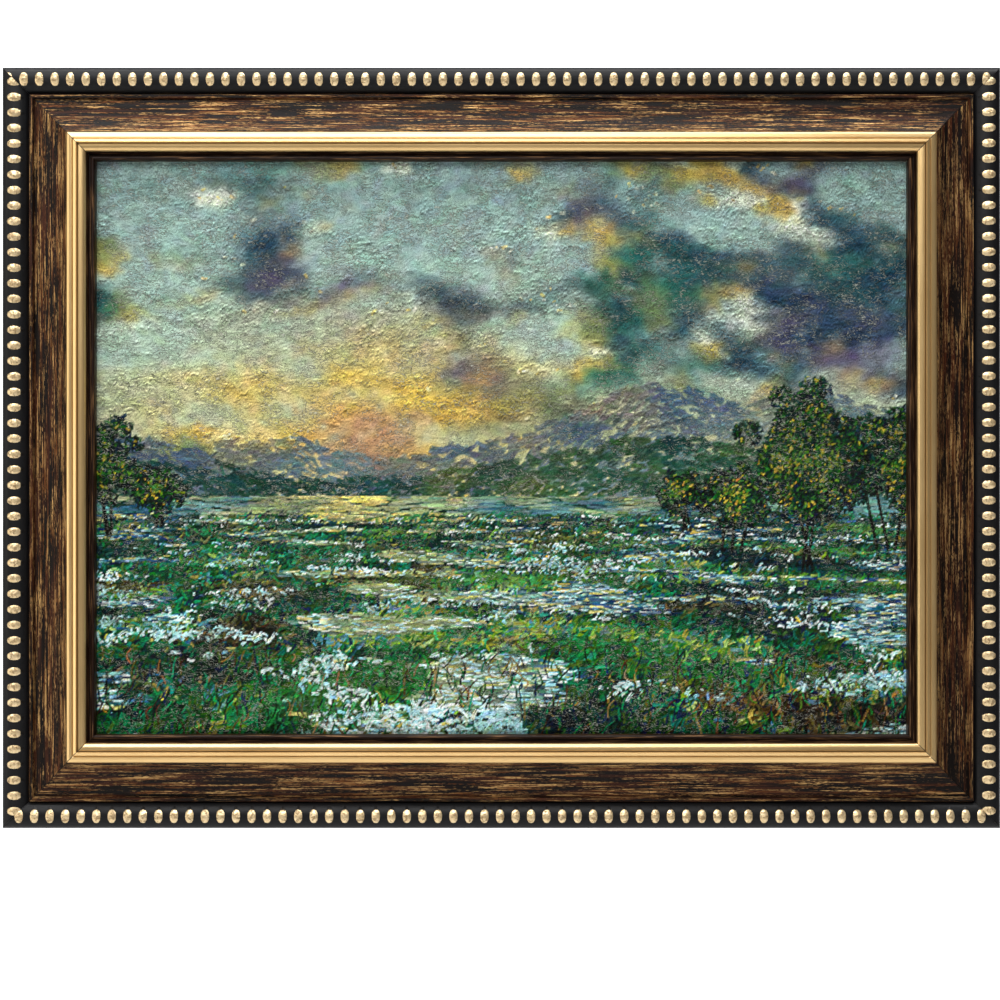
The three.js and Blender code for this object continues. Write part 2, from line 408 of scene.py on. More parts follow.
def streaked_foil():
    """Dark brown over bronze foil, wiped along the rail so that the foil shows in streaks."""
    finish = Finish("streaked_foil")
    place = moulding_place(finish)
    inset = finish.part(place, "Y")
    long = finish.noise(finish.stretched(place, (45, 2500, 2500)), 1, 4, 0.3)
    short = finish.noise(finish.stretched(place, (520, 3200, 3200)), 1, 3)
    broad = finish.noise(finish.stretched(place, (30, 560, 560)), 1, 2)
    patches = finish.noise(finish.stretched(place, (60, 170, 170)), 1, 3)
    near_reed = inset.step(scoop_end - 0.006, scoop_end)
    foil = 0.62 * long + 0.38 * short + 0.2 * (broad - 0.5) + 0.26 * (patches - 0.5) + 0.03 * near_reed
    shown = foil.step(0.52, 0.575)
    cell = {"Vector": finish.stretched(place, (190, 420, 420)), "Scale": 1.0, "Randomness": 1.0}
    cracks = finish.node("TexVoronoi", {"feature": "DISTANCE_TO_EDGE"}, cell)
    crack = cracks.step(0.035, 0.0) * patches.step(0.5, 0.6)
    shown = shown * (1 - crack)
    glow = finish.noise(finish.stretched(place, (60, 1100, 1100)), 1, 2)
    bronze = finish.mix(glow.step(0.38, 0.68), colour(98, 58, 30), colour(186, 148, 94))
    brown = finish.mix(broad.step(0.42, 0.72), colour(9, 4, 2), colour(62, 29, 13))
    return finish.surface(
        Base_Color=finish.mix(at_mitre(finish), finish.mix(shown, brown, bronze), colour(8, 4, 2)),
        Specular_IOR_Level=0.14,
        Metallic=0.5 * shown,
        Roughness=0.5 - 0.12 * shown,
        Normal=finish.bump(foil + 0.4 * shown, 0.0002),
    )


def gilt_band():
    """Pale gold foil over the reeds, with brown toner left in the groove and the valley."""
    finish = Finish("gilt_band")
    place = moulding_place(finish)
    inset = finish.part(place, "Y")
    lines = finish.noise(finish.stretched(place, (6, 2600, 2600)), 1, 2)
    cloud = finish.noise(finish.stretched(place, (25, 160, 160)), 1, 2)
    valley = inset.step(crest + 0.0001, crest + 0.0005) * inset.step(valley_end, valley_end - 0.0004)
    groove = (inset - outer_reed_end).math("ABSOLUTE").step(0.0004, 0.0001)
    seam = at_mitre(finish)
    toner = valley + 0.45 * groove * lines.step(0.35, 0.5)
    gold = finish.mix(lines * 0.6 + cloud * 0.4, colour(192, 152, 94), colour(242, 210, 152))
    return finish.surface(
        Base_Color=finish.mix(seam, finish.mix(0.8 * toner, gold, colour(92, 62, 22)), colour(8, 4, 2)),
        Metallic=(0.8 - 0.3 * toner) * (1 - seam),
        Roughness=0.27 + 0.08 * cloud + 0.1 * toner,
        Normal=finish.bump(lines, 0.00003),
    )


def dark_groove():
    """Dark brown lacquer in the grooves, thin enough on a ridge for some foil to show."""
    finish = Finish("dark_groove")
    place = moulding_place(finish)
    fine = finish.noise(finish.stretched(place, (60, 1900, 1900)), 1, 3)
    shown = fine.step(0.54, 0.66)
    return finish.surface(
        Base_Color=finish.mix(shown, colour(26, 12, 5), colour(112, 82, 54)),
        Specular_IOR_Level=0.15,
        Metallic=0.5 * shown,
        Roughness=0.42,
        Normal=finish.bump(fine, 0.00008),
    )


def bare_pine():
    finish = Finish("bare_pine")
    place = moulding_place(finish)
    rings = finish.noise(finish.stretched(place, (5, 330, 330)), 1, 3, 0.6)
    fibres = finish.noise(finish.stretched(place, (90, 2400, 2400)), 1, 2)
    grain = rings.step(0.42, 0.62) * 0.7 + fibres * 0.3
    return finish.surface(
        Base_Color=finish.mix(grain, colour(214, 178, 128), colour(170, 122, 74)),
        Roughness=0.66,
        Normal=finish.bump(fibres, 0.0001),
    )


rail_finishes = [
    black_lacquer(), gilded_bead(), streaked_foil(), gilt_band(), dark_groove(), bare_pine(),
]
BLACK, BEAD, STREAKED, GILT, GROOVE, PINE = range(len(rail_finishes))


def finish_at(inset, height):
    """Which finish the moulding has there."""
    if inset > rail_width - rebate_width - 0.0001 and height < rebate_depth + 0.0001:
        return PINE
    if height < 0.0001:
        return PINE
    if inset < roll_width:
        return BLACK
    if inset < scoop_end:
        return STREAKED
    if inset < band_end:
        return GILT
    return GROOVE


def add_beads(bm, first, length):
    """A row of beads: drops with their blunt ends out and their tails down the roll's slope."""
    axis_height = roll_height + bead_rise - bead_crown
    lean = Matrix.Translation((0, bead_inset, axis_height)) @ Matrix.Rotation(-bead_tilt, 4, "X")
    stand = Matrix.Rotation(math.radians(-90), 4, "X")
    place = first
    while place < length:
        drop = bmesh.ops.create_uvsphere(
            bm, u_segments=bead_segments, v_segments=bead_rings, radius=1, matrix=stand,
        )["verts"]
        for v in drop:
            v.co.x *= bead_width / 2 * (1 - bead_taper * v.co.y)
            v.co.z *= bead_crown * (1 - bead_taper * v.co.y)
            v.co.y = (v.co.y + 1) * bead_length / 2
        bmesh.ops.transform(bm, matrix=lean, verts=drop)
        bmesh.ops.translate(bm, vec=(place - length / 2, 0, 0), verts=drop)
        for face in {f for v in drop for f in v.link_faces}:
            face.material_index = BEAD
        place += bead_pitch


def mitre_cut(bm, length, side):
    """Saws one end off at 45 degrees and closes the cut."""
    end = length / 2 - mitre_gap / math.sqrt(2)
    everything = bm.verts[:] + bm.edges[:] + bm.faces[:]
    cut = bmesh.ops.bisect_plane(
        bm, geom=everything, dist=1e-7,
        plane_co=(side * end, 0, 0), plane_no=(side, 1, 0), clear_outer=True,
    )
    rim = [e for e in cut["geom_cut"] if isinstance(e, bmesh.types.BMEdge)]
    bmesh.ops.holes_fill(bm, edges=rim, sides=0)


def make_rail(side, length, across, turn, first, start):
    """One rail. Its beads are counted from its start, which is at its left end where start is
    1; turn is how far round the frame it stands from the bottom rail."""
    bm = bmesh.new()
    half = length / 2
    section = [bm.verts.new((-half, inset, height)) for inset, height in moulding_section()]
    ring = [bm.edges.new(pair) for pair in zip(section, section[1:] + section[:1])]
    drawn = bmesh.ops.extrude_edge_only(bm, edges=ring)
    moved = [v for v in drawn["geom"] if isinstance(v, bmesh.types.BMVert)]
    bmesh.ops.translate(bm, vec=(length, 0, 0), verts=moved)
    bm.faces.ensure_lookup_table()
    everything = bm.verts[:] + bm.edges[:] + bm.faces[:]
    bmesh.ops.bisect_plane(bm, geom=everything, dist=1e-7, plane_co=(0, 0, 0), plane_no=(1, 0, 0))
    for face in bm.faces:
        middle = face.calc_center_median()
        face.material_index = finish_at(middle.y, middle.z)
    add_beads(bm, first, length)
    if start < 0:
        beads = {v for f in bm.faces if f.material_index == BEAD for v in f.verts}
        bmesh.ops.scale(bm, vec=(-1, 1, 1), verts=list(beads))
    for end in (-1, 1):
        mitre_cut(bm, length, end)
    bmesh.ops.recalc_face_normals(bm, faces=bm.faces)
    for face in bm.faces:
        face.smooth = True

    place = bm.verts.layers.float_vector.new("moulding")
    from_mitre = bm.verts.layers.float.new("from_mitre")
    for v in bm.verts:
        along = start * v.co.x + half - first
        v[place] = (along + run_start[side], v.co.y, v.co.z)
        v[from_mitre] = half - v.co.y - abs(v.co.x)

    to_world = (
        Matrix.Translation(frame_middle)
        @ Matrix.Rotation(math.radians(turn), 4, "Y")
        @ Matrix.Translation((0, rail_back, -across / 2))
        @ Matrix(((1, 0, 0, 0), (0, 0, -1, 0), (0, 1, 0, 0), (0, 0, 0, 1)))
    )
    bmesh.ops.transform(bm, matrix=to_world, verts=bm.verts)
    rail = finished("moulding_" + side, bm, rail_finishes)
    rail.data.set_sharp_from_angle(angle=math.radians(38))
    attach(rail, "root")
    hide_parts("rail_" + side)
    return rail


# Each rail came from its own stretch of the moulding, a whole number of beads along it, and its
# first bead is cut where the saw happened to fall.
run_start = {side: 100 * k * bead_pitch for k, side in enumerate(("bottom", "left", "top", "right"))}
outer_width = outer_high.x - outer_low.x
outer_height = outer_high.z - outer_low.z
make_rail("bottom", outer_width, outer_height, 0, 0.0012, 1)
make_rail("left", outer_height, outer_width, 90, 0.0002, 1)
make_rail("top", outer_width, outer_height, 180, 0.0033, -1)
make_rail("right", outer_height, outer_width, 270, 0.0, -1)


# The painting: oil paint laid with small flat brushes on the primed face of the board, sky first
# and flowers last. Its picture is a plain landscape, a low sun over hills and a lake, with trees
# and a meadow in flower. Distances on it are right and up from the film's lower left corner.
sight_width = 0.34
sight_height = 0.24
film_margin = 0.001
film_cell = 0.00047
film_width = sight_width + 2 * film_margin
film_height = sight_height + 2 * film_margin
columns = round(film_width / film_cell) + 1
rows = round(film_height / film_cell) + 1
column_place = np.linspace(0, film_width, columns)
row_place = np.linspace(0, film_height, rows)
brush = np.random.default_rng(41)
paint = np.zeros((rows, columns, 3))
body = np.zeros((rows, columns))

bristle_count = 4096
bristle_spacing = 0.00045
bristles = brush.random(bristle_count)
bristle_places = np.arange(bristle_count)


def drift(wide, high):
    """Smooth noise over the film, in patches about that wide and high, mostly from -2 to 2."""
    across = np.fft.rfftfreq(columns, film_cell)[None, :] * wide
    up = np.fft.fftfreq(rows, film_cell)[:, None] * high
    waves = np.fft.rfft2(brush.standard_normal((rows, columns))) * np.exp(-2.5 * (across**2 + up**2))
    field = np.fft.irfft2(waves, s=(rows, columns))
    return (field - field.mean()) / field.std()


def at(field, x, z):
    """What a field is at a place, or at the nearest place on the film."""
    row = min(rows - 1, max(0, int(z / film_cell)))
    return field[row, min(columns - 1, max(0, int(x / film_cell)))]


def blend(first, second, share):
    """A tint between two, for a share of 0 to 1."""
    share = min(1.0, max(0.0, share))
    return np.asarray(first, float) * (1 - share) + np.asarray(second, float) * share


def vary(tint, spread):
    """The tint as a brush picks it up, never twice the same."""
    picked = np.asarray(tint, float) + brush.normal(0, spread) + brush.normal(0, 0.6 * spread, 3)
    return np.clip(picked, 3, 250)


def lay_stroke(x, z, angle, length, width, tint, thickness, cover=0.9, bend=0.0):
    """One brush stroke about a place: its colour and body go on over what is there, streaked by
    the bristles, heaped at its sides and breaking up towards its end."""
    reach = (length + width) / 2 + abs(bend)
    left = max(0, int((x - reach) / film_cell))
    right = min(columns, int((x + reach) / film_cell) + 2)
    low = max(0, int((z - reach) / film_cell))
    high = min(rows, int((z + reach) / film_cell) + 2)
    if left >= right or low >= high:
        return
    dx = column_place[None, left:right] - x
    dz = row_place[low:high, None] - z
    along = (dx * math.cos(angle) + dz * math.sin(angle)) / (length / 2)
    across = (dz * math.cos(angle) - dx * math.sin(angle) + bend * along**2) / (width / 2)
    first = brush.uniform(bristle_count * 0.05, bristle_count * 0.95)
    hair = np.interp(across * width / 2 / bristle_spacing + first, bristle_places, bristles)
    side = 1 - np.abs(across)
    ends = np.clip((1 - np.abs(along)) * 4 + 0.7 * (hair - 0.5), 0, 1)
    wet = np.clip(1.5 - 0.45 * (along + 1) + 1.1 * (hair - 0.6), 0, 1)
    share = np.clip(side * 3, 0, 1) * ends * wet * cover
    heap = 0.35 + 0.65 * hair + 0.5 * np.exp(-(((side - 0.25) / 0.2) ** 2))
    window = (slice(low, high), slice(left, right))
    shade = np.asarray(tint) * (1 + 0.16 * (hair - 0.5))[..., None]
    paint[window] += (shade - paint[window]) * share[..., None]
    body[window] += (thickness * heap - 0.45 * body[window]) * share


def scatter(count, x_range, z_range, lay):
    """Calls lay at so many random places."""
    for _ in range(count):
        lay(brush.uniform(*x_range), brush.uniform(*z_range))


# The sky: hazy green-grey overhead, a gold glow at the left and heavy banks of teal and violet
# cloud, whose edges towards the sun are picked out in thick cream and gold.
horizon = 0.104
sun_x = 0.112
sun_z = 0.140
sky_top, sky_mid, sky_low = (138, 151, 146), (160, 169, 158), (182, 170, 134)
cloud_teal, cloud_violet, cloud_slate = (58, 98, 90), (94, 88, 102), (54, 72, 84)
gold, cream, rose = (198, 164, 98), (232, 224, 198), (170, 134, 112)
cloud_form = drift(0.08, 0.034) + 0.6 * drift(0.030, 0.016) + 0.35 * drift(0.012, 0.008)
hue_patch = drift(0.05, 0.03)
fleck = drift(0.02, 0.009)
cloud_banks = (
    (0.290, 0.168, 0.105, 0.046, 1.7), (0.015, 0.188, 0.085, 0.034, 1.5),
    (0.175, 0.207, 0.050, 0.013, 0.7), (0.050, 0.125, 0.050, 0.012, 0.7),
)


def cloud_at(x, z):
    """How much cloud there is: below 0 clear, above 1 heavy."""
    density = at(cloud_form, x, z) * 0.75 - 0.5
    for bank_x, bank_z, wide, high, weight in cloud_banks:
        density += weight * math.exp(-((x - bank_x) / wide) ** 2 - ((z - bank_z) / high) ** 2)
    return density - 1.0 * glow_at(x, z)


def glow_at(x, z):
    return math.exp(-((x - sun_x) / 0.075) ** 2 - ((z - sun_z) / 0.028) ** 2)


def sky_tint(x, z):
    lift = (z - horizon) / (film_height - horizon)
    tint = blend(sky_low, sky_mid, lift * 2.4)
    tint = blend(tint, sky_top, lift * 1.6 - 0.6)
    glow = glow_at(x, z)
    density = cloud_at(x, z)
    shade = blend(cloud_teal, cloud_violet, 0.5 + 0.6 * at(hue_patch, x, z))
    shade = blend(shade, cloud_slate, 0.4 + 0.35 * at(fleck, x, z))
    tint = blend(tint, shade, density * 1.1)
    sunward = cloud_at(x + (sun_x - x) * 0.05, z + (sun_z - z) * 0.09 + 0.002)
    rim = (density - sunward) * (0.6 + glow) * 1.5
    tint = blend(tint, cream if at(fleck, x, z) > 0.6 else gold, min(0.8, rim) if density > -0.1 else 0)
    tint = blend(tint, gold, glow * (0.85 + 0.35 * at(fleck, x, z)))
    return blend(tint, rose, 0.4 * glow * (at(hue_patch, x, z) - 0.4))


def sky_brush(scale):
    def lay(x, z):
        angle = 0.2 * at(hue_patch, x, z) + brush.normal(0, 0.5)
        length = brush.uniform(0.008, 0.018) * scale
        width = brush.uniform(0.003, 0.0055) * scale
        thickness = brush.uniform(4e-5, 1.2e-4)
        tint = vary(sky_tint(x, z), 6)
        lay_stroke(x, z, angle, length, width, tint, thickness, 0.75, brush.normal(0, 0.0012))
    return lay


def rim_brush(x, z):
    """Small thick dabs of light along the clouds' edges."""
    if abs(cloud_at(x, z) - 0.2) > 0.2 or at(fleck, x, z) < 0.4:
        return
    tint = (cream, gold, (226, 190, 124), (196, 188, 164))[brush.integers(4)]
    length = brush.uniform(0.0012, 0.003)
    lay_stroke(x, z, brush.normal(0.2, 0.8), length, 0.6 * length, vary(tint, 7), 1.8e-4, 0.55)


paint[:] = sky_mid
sky_range = (horizon - 0.01, film_height)
across_film = (0, film_width)
scatter(1500, across_film, sky_range, sky_brush(1.5))
scatter(4200, across_film, sky_range, sky_brush(0.85))
scatter(5600, across_film, sky_range, sky_brush(0.42))

# While it is wet the sky is blended with a soft brush; the light along the clouds goes on after.
for _ in range(3):
    beside = sum(np.roll(paint, step, axis) for step in (-2, 2) for axis in (0, 1)) / 4
    paint[:] = 0.5 * paint + 0.5 * beside
scatter(2600, across_film, (horizon, film_height), rim_brush)

# The hills: a far violet range with one high top, and nearer green slopes under it.
far_range = (
    (0, 0.05, 0.085, 0.12, 0.17, 0.205, 0.235, 0.27, 0.30, 0.344),
    (0.128, 0.121, 0.125, 0.117, 0.124, 0.137, 0.150, 0.141, 0.146, 0.136),
)
near_range = (
    (0, 0.04, 0.09, 0.14, 0.19, 0.24, 0.29, 0.344),
    (0.119, 0.114, 0.108, 0.110, 0.118, 0.127, 0.121, 0.126),
)
ragged = drift(0.008, 0.2)[0] * 0.0011


def hill_brush(skyline, upper, lower, sunlit):
    def lay(x, z):
        top = np.interp(x, *skyline) + ragged[int(x / film_cell)]
        if z > top:
            return
        slope = math.atan2(np.interp(x + 0.004, *skyline) - np.interp(x - 0.004, *skyline), 0.008)
        depth = (top - z) / 0.03
        tint = blend(upper, lower, depth + 0.3 * at(hue_patch, x, z))
        lit = (0.4 if slope > 0.05 else 0.05) * (1 - depth) + 0.16 * at(fleck, x, z)
        angle = slope * 1.2 + brush.normal(0, 0.4)
        size = brush.uniform(0.6, 1.4)
        tint = vary(blend(tint, sunlit, lit), 6)
        lay_stroke(x, min(z, top - 0.0008), angle, 0.0055 * size, 0.0018 * size, tint, 1e-4, 0.8)
    return lay


hill_range = (horizon - 0.01, max(far_range[1]))
far_brush = hill_brush(far_range, (80, 92, 106), (108, 120, 120), (152, 134, 104))
near_brush = hill_brush(near_range, (36, 66, 64), (58, 92, 74), (122, 118, 70))
scatter(5200, across_film, hill_range, far_brush)
scatter(5200, across_film, hill_range, near_brush)

# The lake, then a wet meadow that runs from its shore to the foot of the picture: tufted grass,
# still water between the tufts, and drifts of pale blossom, all smaller the further off they are.
shore = 0.1005
far_bank = 0.0915
eye_level = 0.116
meadow_greens = (
    (12, 46, 48), (16, 92, 62), (22, 62, 40), (30, 116, 84), (86, 96, 42), (14, 40, 66), (44, 84, 46),
)
meadow_lights = ((140, 150, 58), (184, 146, 84), (60, 132, 104), (98, 122, 132), (176, 170, 110))
meadow_earths = ((88, 66, 44), (60, 50, 36), (146, 112, 72), (30, 34, 30))
pool_tints = ((74, 100, 116), (44, 92, 98), (196, 168, 112), (150, 168, 160), (28, 60, 82))
blossoms = ((234, 232, 216), (214, 218, 208), (176, 194, 202), (240, 222, 178), (212, 160, 84))
patch = drift(0.016, 0.006)
tuft = drift(0.006, 0.0034)
water = drift(0.022, 0.0055)
bloom = drift(0.020, 0.0055) + 0.55 * drift(0.007, 0.003)
shadow = drift(0.034, 0.011)
earth = drift(0.02, 0.008)


eye_drop = 0.03
eye_place = 0.13
ground_middle = 0.171
ground_reach = 0.12


def on_ground(field, x, z):
    """What a field is at a place of the meadow, seen flat: stretched near to, shrunk far off."""
    depth = eye_drop / (eye_level - z)
    column = int((ground_middle + (x - eye_place) * depth) / film_cell) % columns
    return field[int(ground_reach * depth / film_cell) % rows, column]


def nearness(z):
    """From 0 at the lake to 1 at the foot of the picture."""
    return min(1.0, max(0.0, 1 - z / shore))


def lake_brush(x, z):
    shine = math.exp(-((x - sun_x) / 0.05) ** 2)
    tint = blend((118, 142, 136), (62, 92, 104), 0.5 + 0.4 * at(fleck, x, z))
    tint = blend(tint, (222, 190, 124), shine * 0.9 + 0.2 * at(bloom, x, z))
    length = brush.uniform(0.004, 0.011)
    lay_stroke(x, z, brush.normal(0, 0.06), length, brush.uniform(0.0008, 0.0016), vary(tint, 9), 1e-4, 0.85)


def meadow_brush(scale):
    def lay(x, z):
        near = nearness(z)
        size = (0.4 + 0.9 * near) * scale
        thickness = brush.uniform(1e-4, 2.6e-4)
        if on_ground(water, x, z) > 0.8 + 0.2 * brush.normal():
            tint = pool_tints[brush.integers(5)]
            shine = math.exp(-((x - sun_x - 0.3 * (shore - z)) / 0.05) ** 2)
            tint = vary(blend(tint, pool_tints[2], 0.7 * shine), 9)
            lay_stroke(x, z, brush.normal(0, 0.1), 0.009 * size, 0.0018 * size, tint, thickness)
            return
        pick = on_ground(patch, x, z) + brush.normal(0, 0.6)
        if on_ground(earth, x, z) + 0.3 * brush.normal() > 1.15:
            tint = meadow_earths[brush.integers(4)]
        elif pick > 1.15:
            tint = meadow_lights[brush.integers(5)]
        else:
            place = 3.5 + 1.6 * on_ground(tuft, x, z) + brush.normal(0, 1.2)
            tint = meadow_greens[int(np.clip(place, 0, 6))]
        shade = on_ground(shadow, x, z)
        tint = blend(tint, (8, 30, 42), 0.5 * shade)
        tint = blend(tint, (128, 142, 66), -0.32 * shade - 0.14)
        tint = blend(tint, (96, 120, 96), 0.5 * (1 - near) ** 2)
        upright = brush.random() < 0.3 + 0.3 * near
        angle = brush.normal(1.25, 0.5) if upright else brush.normal(0.12, 0.35)
        length = brush.uniform(0.0034, 0.0078) * size
        width = brush.uniform(0.0012, 0.0024) * size
        bend = brush.normal(0, 0.0008) * size
        lay_stroke(x, z, angle, length, width, vary(tint, 9), thickness, 0.9, bend)
    return lay


def blossom_brush(x, z):
    near = nearness(z)
    likely = 0.7 * on_ground(bloom, x, z) - 0.5 + 0.25 * on_ground(tuft, x, z)
    if brush.random() > likely or on_ground(water, x, z) > 0.9:
        return
    pick = min(4, int(abs(brush.normal(0, 1.7))))
    tint = blend(blossoms[pick], (120, 142, 132), 0.3 * max(0.0, on_ground(patch, x, z)))
    size = brush.uniform(0.5, 1.15) * (0.0007 + 0.0013 * near)
    length = size * brush.uniform(1.2, 3.4)
    angle = brush.normal(0.25, 0.75)
    lay_stroke(x, z, angle, length, size, vary(tint, 8), brush.uniform(1.6e-4, 3.4e-4), 0.85, 0.0003)


def glint_brush(x, z):
    """Short light strokes on the water between the tufts."""
    if on_ground(water, x, z) < 0.7:
        return
    size = 0.4 + 0.9 * nearness(z)
    tint = vary(blossoms[brush.integers(4)], 8)
    lay_stroke(x, z, brush.normal(0, 0.12), 0.0042 * size, 0.0009 * size, tint, 2e-4, 0.8)


def grass_brush(x, z):
    tint = (meadow_greens + meadow_earths)[brush.integers(11)]
    length = brush.uniform(0.004, 0.011)
    bend = brush.normal(0, 0.0012)
    lay_stroke(x, z, brush.normal(1.5, 0.4), length, 0.0009, vary(tint, 9), 2e-4, 0.85, bend)


meadow_range = (0, far_bank + 0.0015)
paint[: int(shore / film_cell)] = (28, 66, 56)
scatter(1500, across_film, (far_bank - 0.002, shore), lake_brush)
scatter(4500, across_film, meadow_range, meadow_brush(2.0))
scatter(9000, across_film, meadow_range, meadow_brush(1.2))
scatter(15000, across_film, meadow_range, blossom_brush)
scatter(5000, across_film, meadow_range, meadow_brush(0.9))
scatter(5200, across_film, (0, far_bank), glint_brush)


# The trees: crowns of many small dabs, dark ones first, then mid green, then the sunlit side.
def paint_tree(middle_x, foot, half_width, height):
    for _ in range(3):
        root = middle_x + brush.normal(0, 0.14) * half_width
        lean = brush.normal(1.57, 0.16)
        lay_stroke(root, foot + height * 0.22, lean, height * 0.5, 0.0016, (38, 32, 26), 2e-4)
    crowns = []
    for _ in range(30):
        turn = brush.uniform(0, 2 * math.pi)
        out = 0.92 * brush.random() ** 0.6
        crown_x = middle_x + out * half_width * math.cos(turn)
        crown_z = foot + height * (0.6 + 0.4 * out * math.sin(turn))
        crowns.append((crown_x, crown_z, half_width * brush.uniform(0.3, 0.42) * (1.15 - 0.75 * out)))
    layers = (
        (4.6, 0.0, 1.15, 1.0, ((14, 38, 36), (12, 34, 48), (26, 48, 34))),
        (2.2, 0.2, 1.1, 0.8, ((30, 70, 46), (48, 84, 44), (20, 62, 58), (16, 44, 40))),
        (0.6, 0.5, 0.9, 0.7, ((104, 118, 54), (160, 138, 72), (74, 108, 60))),
    )
    for share, lift, spread, size, tints in layers:
        for crown_x, crown_z, radius in crowns:
            for _ in range(int(share * radius**2 / 2.4e-6)):
                turn = brush.uniform(0, 2 * math.pi)
                out = radius * spread * brush.random() ** 0.6
                x = crown_x + out * math.cos(turn) - lift * radius * 0.5
                z = crown_z + 0.85 * out * math.sin(turn) + lift * radius * 0.45
                length = size * brush.uniform(0.0013, 0.0036)
                tint = vary(tints[brush.integers(len(tints))], 8)
                thickness = 1e-4 + 1.6e-4 * lift
                lay_stroke(x, z, brush.uniform(0.1, 3.0), length, 0.5 * length, tint, thickness, 0.85)


for tree in (
    (0.247, 0.086, 0.012, 0.026), (0.336, 0.078, 0.027, 0.064), (0.300, 0.070, 0.030, 0.080),
    (0.270, 0.078, 0.016, 0.036), (0.004, 0.084, 0.021, 0.050), (0.028, 0.088, 0.012, 0.024),
):
    paint_tree(*tree)
scatter(2600, across_film, (0.06, 0.09), blossom_brush)
scatter(900, across_film, (0, 0.035), grass_brush)
scatter(5000, across_film, (0, 0.05), blossom_brush)


def stipple(size, spread):
    """Ripples about that far apart, for the ridges that the primer's roller left."""
    across = np.fft.rfftfreq(columns, film_cell)[None, :] * 2.0
    up = np.fft.fftfreq(rows, film_cell)[:, None] * 0.85
    band = np.exp(-(((np.sqrt(across**2 + up**2) - 1 / size) * spread) ** 2))
    field = np.fft.irfft2(np.fft.rfft2(brush.standard_normal((rows, columns))) * band, s=(rows, columns))
    return field / field.std()


broken = np.clip(0.35 + 0.6 * fleck + 0.5 * stipple(0.006, 0.006), 0, 1.3)
ridges = np.clip(1 - 2.2 * np.abs(stipple(0.0024, 0.003)), 0, 1) * broken
smooth_sky = np.clip((row_place - horizon) / 0.01, 0, 1)[:, None]
ground_coat = 0.00009
stroke_gain = 1.7
sky_thinning = 0.6
ridge_height = 0.0004
thickest = 0.001
strokes = (stroke_gain - sky_thinning * smooth_sky) * body
relief = np.minimum(strokes + ridge_height * ridges + ground_coat, thickest)

# The varnish deepens the colours and brings out the edges of the strokes, less so in the sky.
edge_gain = 0.7 - 0.5 * smooth_sky[:, :, None]
softer = sum(np.roll(paint, step, axis) for step in (-2, -1, 1, 2) for axis in (0, 1)) / 8
paint = paint + edge_gain * (paint - softer)
grey = paint.mean(axis=2, keepdims=True)
varnish_depth = 1.12
varnish_contrast = 1.34
varnish_tint = np.array([1.0, 1.07, 1.1])
deeper = grey + varnish_depth * (paint - grey)
paint = ((deeper - 118) * varnish_contrast + 112) * varnish_tint

# Painted light: the colour is darkened as painted shade under the ridges and lightened as painted highlight
# on their upper sides, as a light from above would fall on them.
painted_light_slope = np.gradient(relief, film_cell, axis=0)
paint = paint * np.clip(1 - (0.3 + 0.35 * smooth_sky) * painted_light_slope, 0.6, 1.5)[:, :, None]

# A thin cool glaze over the meadow takes some of the red out of it.
glaze_top = 0.1
glaze_fade = 0.02
glaze_share = np.array([0.13, 0.0, -0.06])
glaze = np.clip((glaze_top - row_place) / glaze_fade, 0, 1)[:, None, None]
paint = paint * (1 - glaze * glaze_share)


# The film of paint as meshes: it is one film, parted along three lines only to keep each mesh
# light. Its relief is the strokes' own, and it thins out under the frame's lip.
film_strips = 4
film_skin = 0.00005
film_lip_skin = 0.00016
film_fade = 0.0014
board_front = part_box("painted_board")[0].y


def oil_paint():
    """The strokes' own colours, with a crust of fine ridges: painted highlight, pale on their crests, and
    painted shade, dark between them, under a thin varnish."""
    finish = Finish("oil_paint")
    place = finish.node("TexCoord", {}, {}, "Object")
    pigment = finish.node("Attribute", {"attribute_name": "paint"}, {}, "Color")
    cover = finish.noise(finish.stretched(place, (0.8, 1, 2.0)), 340, 3, 0.9)
    crest = (cover - 0.5).math("ABSOLUTE").step(0.045, 0.0)
    fine = finish.noise(place, 1500, 3)
    patch = finish.noise(place, 70, 3)
    crest = crest * patch.step(0.4, 0.56)
    # Painted highlight on the ridges' crests and painted shade in the hollows between them.
    crest_highlight = crest * fine.step(0.4, 0.52)
    hollow_shade = cover.step(0.45, 0.34)
    shade = finish.mix(0.28 * hollow_shade, pigment, colour(4, 11, 11))
    shade = finish.mix(0.66 * crest_highlight, shade, colour(226, 228, 212))
    return finish.surface(
        Base_Color=shade,
        Specular_IOR_Level=0.1,
        Roughness=0.3 + 0.14 * patch,
        Normal=finish.bump(crest + 0.6 * fine, 0.0022),
    )


